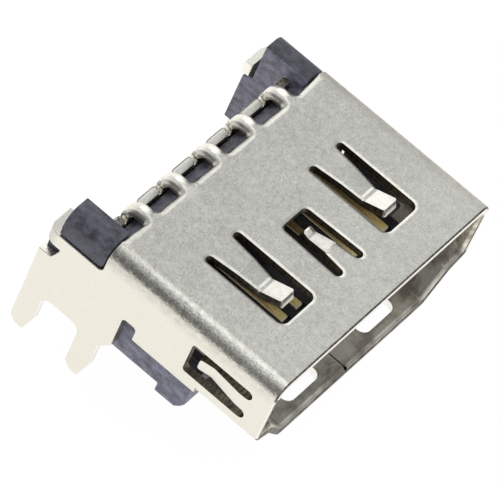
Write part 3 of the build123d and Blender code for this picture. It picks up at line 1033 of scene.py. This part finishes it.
def facing(towards, distance):
    """Place and turn of something that looks at the middle of the socket from a direction."""
    away = Vector(towards).normalized()
    return (CAD_LOW + CAD_HIGH) / 2 + away * distance, away.to_track_quat("Z", "Y").to_euler()


def make_lamp(name, towards, distance, width, height):
    """A soft lamp of the lamps' common brightness."""
    data = bpy.data.lights.new(name, "AREA")
    data.shape = "RECTANGLE"
    data.size = width
    data.size_y = height
    data.energy = LAMP_LEVEL * math.pi * width * height
    lamp = bpy.data.objects.new(name, data)
    lamp.location, lamp.rotation_euler = facing(towards, distance)
    bpy.context.scene.collection.objects.link(lamp)


def make_card(name, towards, distance, width, height, colour):
    """A card of one plain brightness that only reflections see."""
    pick_nothing()
    place, turn = facing(towards, distance)
    bpy.ops.mesh.primitive_plane_add(size=1.0, location=place, rotation=turn)
    card = bpy.context.view_layer.objects.active
    card.name = name
    card.scale = (width, height, 1.0)
    material = bpy.data.materials.new(name)
    material.use_nodes = True
    tree = material.node_tree
    tree.nodes.clear()
    glow = tree.nodes.new("ShaderNodeEmission")
    glow.inputs["Color"].default_value = (*colour, 1.0)
    output = tree.nodes.new("ShaderNodeOutputMaterial")
    tree.links.new(glow.outputs["Emission"], output.inputs["Surface"])
    card.data.materials.append(material)
    card.visible_camera = False
    card.visible_diffuse = False
    card.visible_shadow = False
    card.visible_transmission = False


def seen_directly(tree):
    """1 for rays from the camera, from gloss and through glass, else 0."""
    path = tree.nodes.new("ShaderNodeLightPath")
    direct = (path.outputs[name] for name in ("Is Camera Ray", "Is Glossy Ray", "Is Transmission Ray"))
    return largest(tree, *direct)


def mix_shaders(tree, share, first, second, output):
    """Blend the shaders of two nodes by a value into the output's surface."""
    both = tree.nodes.new("ShaderNodeMixShader")
    tree.links.new(share, both.inputs["Fac"])
    tree.links.new(first.outputs[0], both.inputs[1])
    tree.links.new(second.outputs[0], both.inputs[2])
    tree.links.new(both.outputs["Shader"], output.inputs["Surface"])


def floor_material():
    """White floor: plain white to the camera, with the socket's faint shadow kept."""
    material, tree, shader = new_material("white_floor")
    shader.inputs["Base Color"].default_value = FLOOR_PAINT
    shader.inputs["Roughness"].default_value = FLOOR_ROUGHNESS
    glow = tree.nodes.new("ShaderNodeEmission")
    glow.inputs["Strength"].default_value = FLOOR_GLOW
    path = tree.nodes.new("ShaderNodeLightPath")
    tree.links.new(tint(tree, path.outputs["Is Camera Ray"], WARM_WHITE, WHITE), glow.inputs["Color"])
    output = next(node for node in tree.nodes if node.bl_idname == "ShaderNodeOutputMaterial")
    share = product(tree, seen_directly(tree), GLOW_SHARE)
    mix_shaders(tree, share, shader, glow, output)
    return material


def make_floor():
    pick_nothing()
    bpy.ops.mesh.primitive_plane_add(size=FLOOR_SIZE, location=(0.0, 0.0, CAD_LOW.z))
    floor = bpy.context.view_layer.objects.active
    floor.name = "floor"
    floor.data.materials.append(floor_material())


def make_world():
    """The room's light, with a plain pale backdrop for the rays that see it directly."""
    world = bpy.data.worlds.new("studio")
    world.use_nodes = True
    tree = world.node_tree
    tree.nodes.clear()
    room = tree.nodes.new("ShaderNodeBackground")
    room.inputs["Color"].default_value = (*colours().room, 1.0)
    backdrop = tree.nodes.new("ShaderNodeBackground")
    backdrop.inputs["Color"].default_value = BACKDROP
    output = tree.nodes.new("ShaderNodeOutputWorld")
    mix_shaders(tree, seen_directly(tree), room, backdrop, output)
    bpy.context.scene.world = world


class SOCKET_OT_stage(bpy.types.Operator):
    """Make the floor, the lamps, the world and the camera."""

    bl_idname = "socket.stage"
    bl_label = "Stage"

    def execute(self, context):
        make_floor()
        make_world()
        for lamp in LAMPS:
            make_lamp(*lamp)
        make_card(*CEILING, colours().room)
        for flag in FLAGS:
            make_card(*flag)
        make_camera()
        context.scene.view_settings.view_transform = "Standard"
        return {"FINISHED"}


class SOCKET_PT_panel(bpy.types.Panel):
    """The pieces and their sizes in the sidebar."""

    bl_label = "Digital Video Socket"
    bl_space_type = "VIEW_3D"
    bl_region_type = "UI"
    bl_category = "Socket"

    def draw(self, context):
        scene = context.scene
        for group in (scene.socket_sizes, scene.socket_colours):
            for name in group.bl_rna.properties.keys():
                if name not in {"rna_type", "name"}:
                    self.layout.prop(group, name)
        for operator in OPERATORS:
            self.layout.operator(operator.bl_idname)


OPERATORS = (SOCKET_OT_shell, SOCKET_OT_housing, SOCKET_OT_contacts, SOCKET_OT_stage)
CLASSES = (SocketSizes, SocketColours, *OPERATORS, SOCKET_PT_panel)


def register():
    for cls in CLASSES:
        bpy.utils.register_class(cls)
    bpy.types.Scene.socket_sizes = bpy.props.PointerProperty(type=SocketSizes)
    bpy.types.Scene.socket_colours = bpy.props.PointerProperty(type=SocketColours)


def unregister():
    del bpy.types.Scene.socket_colours
    del bpy.types.Scene.socket_sizes
    for cls in reversed(CLASSES):
        bpy.utils.unregister_class(cls)


def main():
    register()
    bpy.ops.socket.shell()
    bpy.ops.socket.housing()
    bpy.ops.socket.contacts()
    bpy.ops.socket.stage()


if __name__ == "__main__":
    main()
